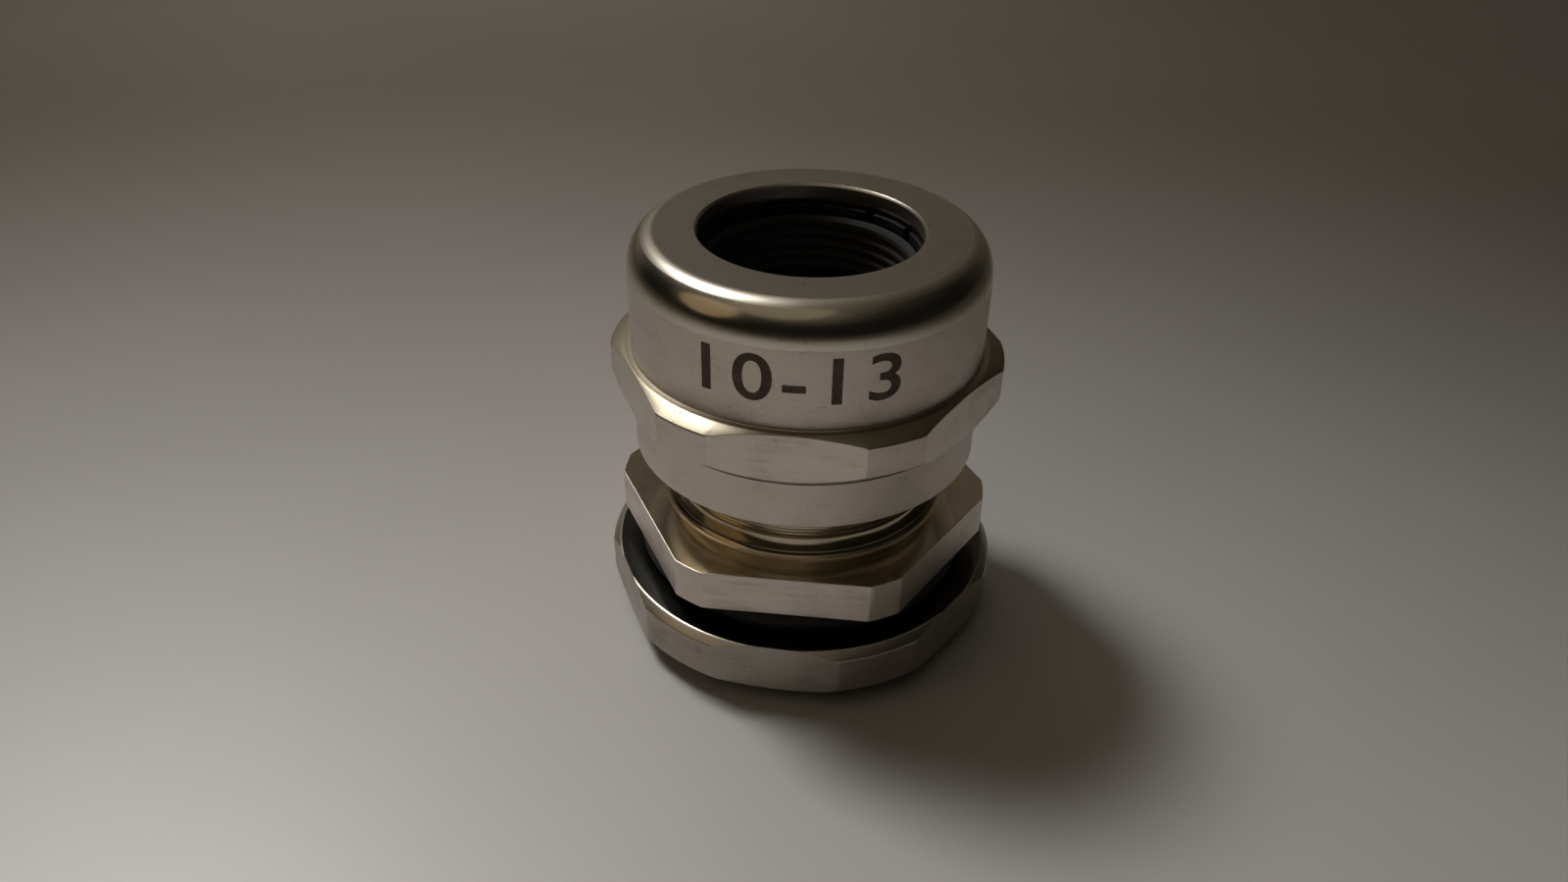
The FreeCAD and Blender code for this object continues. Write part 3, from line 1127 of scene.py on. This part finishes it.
@dataclass
class ClampingInsert:
    """The slotted cage and the rubber sleeve inside it."""

    base: float = 22.2
    sleeve: float = 7.95
    sleeve_bore: float = 7.35
    flange: float = 8.9
    pocket: float = 7.75
    tip: float = 6.9
    tip_outer: float = 7.2556
    slots: int = 12
    slot_width: float = 0.7
    slot_radius: float = 7.9
    slot_rise: float = 3.9
    slot_depth: float = 3.0
    slot_length: float = 6.0
    rubber_bore: float = 6.4
    rubber_base: float = 22.55

    def cage(self) -> bpy.types.Object:
        """Turn the cage and saw its twelve slots."""
        base = self.base
        corners = [
            Corner(self.sleeve_bore, base - 5.05, 0.1),
            Corner(self.sleeve, base - 5.05, 0.15),
            Corner(self.sleeve, base, 0.1),
            Corner(self.flange, base, 0.1),
            Corner(self.flange, base + 1.483, 0.15),
            Corner(self.tip_outer, base + 4.7, 0.1),
            Corner(self.tip, base + 4.7, 0.08),
            Corner(self.tip, base + 4.1, 0.08),
            Corner(self.pocket, base + 2.8),
            Corner(self.pocket, base + 0.3),
            Corner(self.sleeve_bore, base + 0.3),
        ]
        piece = Bench.lathe("clamping_cage_slotted", corners, 144)
        saw = self.saw()
        Bench.modify(piece, "BOOLEAN", operation="DIFFERENCE", solver="EXACT", object=saw)
        bpy.data.objects.remove(saw)
        Bench.finish_surface(piece)
        Bench.dress(piece, [], Finish.CAGE)
        attach(piece, "clamping_insert", "cage_plastic", "clamping_cage")
        return piece

    def saw(self) -> bpy.types.Object:
        """Make one slot's block and copy it round the axis.

        Returns:
            The joined blocks.
        """
        blocks = []
        place = (self.slot_radius * MM, 0, (self.base + self.slot_rise) * MM)
        for i in range(self.slots):
            bpy.ops.object.select_all(action="DESELECT")
            bpy.ops.mesh.primitive_cube_add(size=1.0, location=place)
            block = bpy.context.object
            block.scale = (self.slot_depth * MM, self.slot_width * MM, self.slot_length * MM)
            bpy.ops.object.transform_apply(location=True, scale=True)
            Bench.turn_about_axis(block, 360.0 * i / self.slots)
            blocks.append(block)
        bpy.ops.object.select_all(action="DESELECT")
        for block in blocks:
            block.select_set(True)
        bpy.context.view_layer.objects.active = blocks[0]
        bpy.ops.object.join()
        return bpy.context.object

    def rubber(self) -> bpy.types.Object:
        """Turn the rubber sleeve, with shallow ribs in its bore."""
        base = self.rubber_base
        ribs: list[Corner] = []
        for i in range(4):
            low = base + 3.1 - 0.75 * i
            ribs += [
                Corner(self.rubber_bore, low, 0.08),
                Corner(self.rubber_bore + 0.1, low - 0.14, 0.04),
                Corner(self.rubber_bore + 0.1, low - 0.42, 0.04),
                Corner(self.rubber_bore, low - 0.55, 0.08),
            ]
        corners = [
            Corner(self.rubber_bore, base, 0.12),
            Corner(self.pocket - 0.05, base, 0.12),
            Corner(self.pocket - 0.05, base + 2.4, 0.2),
            Corner(6.85, base + 3.7, 0.08),
            Corner(self.rubber_bore + 0.25, base + 3.7, 0.1),
            Corner(self.rubber_bore, base + 3.45, 0.1),
            *ribs,
        ]
        piece = Bench.lathe("sealing_insert_ribbed", corners, 128)
        Bench.finish_surface(piece, 40.0)
        Bench.dress(piece, [], Finish.INSERT)
        attach(piece, "clamping_insert", "insert_rubber", "sealing_insert")
        return piece

    def build(self) -> None:
        """Build the cage and the rubber."""
        self.cage()
        self.rubber()


@dataclass
class SealRing:
    """The rubber ring under the flange, with its moulding line."""

    radius: float = 10.75
    section: float = 0.745
    height: float = 5.7
    flash: float = 0.004

    def build(self) -> bpy.types.Object:
        """Spin a round section with a raised moulding line."""
        bpy.ops.object.select_all(action="DESELECT")
        centre = Vector((self.radius * MM, 0.0, self.height * MM))
        bpy.ops.mesh.primitive_circle_add(
            vertices=28,
            radius=self.section * MM,
            location=centre,
            rotation=(math.pi / 2, 0.0, 0.0),
        )
        piece = bpy.context.object
        piece.name = piece.data.name = "seal_ring_moulded"
        bpy.ops.object.transform_apply(location=True, rotation=True)
        edge = max(vertex.co.x for vertex in piece.data.vertices)
        Bench.pick(piece, "VERT", lambda v: abs(v.co.x - edge) < WELD)
        bpy.ops.transform.translate(value=(self.flash * MM, 0.0, 0.0))
        bpy.ops.mesh.select_all(action="SELECT")
        bpy.ops.mesh.spin(steps=144, angle=TURN, center=(0, 0, 0), axis=(0, 0, 1))
        bpy.ops.object.mode_set(mode="OBJECT")
        Bench.tidy(piece)
        Bench.finish_surface(piece, 60.0)
        Bench.dress(piece, [], Finish.RING)
        attach(piece, "panel_seal", "ring_rubber", "seal_ring")
        return piece


# ---------------------------------------------------------------- stage


@dataclass(frozen=True)
class Lamp:
    """A soft round light, with its angles in degrees and its aim in metres."""

    name: str
    azimuth: float
    elevation: float
    distance: float
    size: float
    power: float
    colour: Colour
    spread: float = 180.0
    aim: tuple[float, float, float] = (0.0, 0.0, 0.014)

    def build(self) -> None:
        """Add the light."""
        around, above = math.radians(self.azimuth), math.radians(self.elevation)
        out = Vector(
            (
                math.cos(around) * math.cos(above),
                math.sin(around) * math.cos(above),
                math.sin(above),
            )
        )
        light = bpy.data.lights.new(self.name, "AREA")
        light.shape = "DISK"
        light.size = self.size
        light.energy = self.power
        light.color = self.colour
        light.spread = math.radians(self.spread)
        lamp = bpy.data.objects.new(self.name, light)
        bpy.context.scene.collection.objects.link(lamp)
        lamp.location = Vector(self.aim) + out * self.distance
        lamp.rotation_euler = out.to_track_quat("Z", "Y").to_euler()
        lamp.visible_camera = False


@dataclass
class Stage:
    """The floor, the lights, the dim room and the camera."""

    floor_half: float = 2.5
    lamps: list[Lamp] = field(
        default_factory=lambda: [
            Lamp(
                "key",
                azimuth=140.0,
                elevation=54.0,
                distance=0.50,
                size=0.16,
                power=0.069,
                colour=(1.0, 0.98, 0.965),
                spread=30.0,
                aim=(-0.006, -0.068, 0.0),
            ),
            Lamp(
                "far_wash",
                azimuth=120.0,
                elevation=70.0,
                distance=0.50,
                size=0.2,
                power=0.020,
                colour=(1.0, 0.9, 0.76),
                spread=34.0,
                aim=(-0.09, 0.17, 0.0),
            ),
            Lamp("front_card", -112.0, 62.0, 0.30, 0.26, 0.017, (1.0, 0.88, 0.60)),
            Lamp("side_card", 208.0, 30.0, 0.30, 0.20, 0.026, (1.0, 0.74, 0.44)),
        ]
    )
    ceiling: Colour = (0.105, 0.090, 0.070)
    far_wall: Colour = (0.120, 0.102, 0.078)
    wall: Colour = (0.006, 0.006, 0.005)
    backdrop: Colour = (0.16, 0.145, 0.125)
    camera_place: tuple[float, float, float] = (0.005010, -0.067754, 0.057485)
    camera_yaw: float = 4.229
    camera_pitch: float = 33.652
    camera_lean: float = 0.963
    camera_roll: float = 1.850
    lens: float = 26.932

    def floor(self) -> None:
        """Lay the sheet."""
        bpy.ops.object.select_all(action="DESELECT")
        bpy.ops.mesh.primitive_plane_add(size=2 * self.floor_half, location=(0, 0, -0.00002))
        sheet = bpy.context.object
        sheet.name = sheet.data.name = "floor_sheet"
        bpy.ops.object.transform_apply(location=True)
        sheet.data.materials.append(Finish.FLOOR.material)

    def room(self) -> None:
        """Make a dim room: a soft ceiling over dark walls, and a plain backdrop."""
        world = bpy.data.worlds.new("dim_room")
        world.use_nodes = True
        bpy.context.scene.world = world
        bench = NodeBench(world.node_tree)
        way = bench.node("ShaderNodeTexCoord", output="Generated")
        split = bench.node("ShaderNodeSeparateXYZ", {}, {0: way}).socket.node
        side, back, rise = (Wire(bench, out) for out in split.outputs)
        colour = bench.mix(back.between(0.35, 0.85), self.wall, self.far_wall)
        colour = bench.mix(rise.between(0.34, 0.85), colour, self.ceiling)
        colour = bench.mix(side.between(0.05, 0.75) * 0.85, colour, self.wall)
        seen = bench.node("ShaderNodeLightPath", output="Is Camera Ray")
        colour = bench.mix(seen, colour, self.backdrop)
        shader = bench.node("ShaderNodeBackground", {}, {0: colour, 1: 1.0})
        bench.node("ShaderNodeOutputWorld", {}, {0: shader})

    def camera(self) -> None:
        """Set the camera."""
        data = bpy.data.cameras.new("camera")
        data.lens = self.lens
        data.sensor_width = 36.0
        data.clip_start = 0.002
        camera = bpy.data.objects.new("camera", data)
        bpy.context.scene.collection.objects.link(camera)
        turn = (
            Matrix.Rotation(math.radians(self.camera_yaw), 4, "Z")
            @ Matrix.Rotation(math.radians(90.0 - self.camera_pitch), 4, "X")
            @ Matrix.Rotation(math.radians(self.camera_lean), 4, "Y")
            @ Matrix.Rotation(math.radians(self.camera_roll), 4, "Z")
        )
        camera.matrix_world = Matrix.Translation(self.camera_place) @ turn
        bpy.context.scene.camera = camera

    def build(self) -> None:
        """Set the whole stage."""
        self.floor()
        self.room()
        self.camera()
        for lamp in self.lamps:
            lamp.build()
        bpy.context.scene.view_settings.view_transform = "Standard"


def main() -> None:
    """Build every piece around the frame and set the stage."""
    logging.basicConfig(level=logging.INFO, format="%(name)s: %(message)s")
    Stage().build()
    for part in (GlandBody(), DomeNut(), LockNut(), ClampingInsert(), SealRing()):
        part.build()


if __name__ == "__main__":
    main()
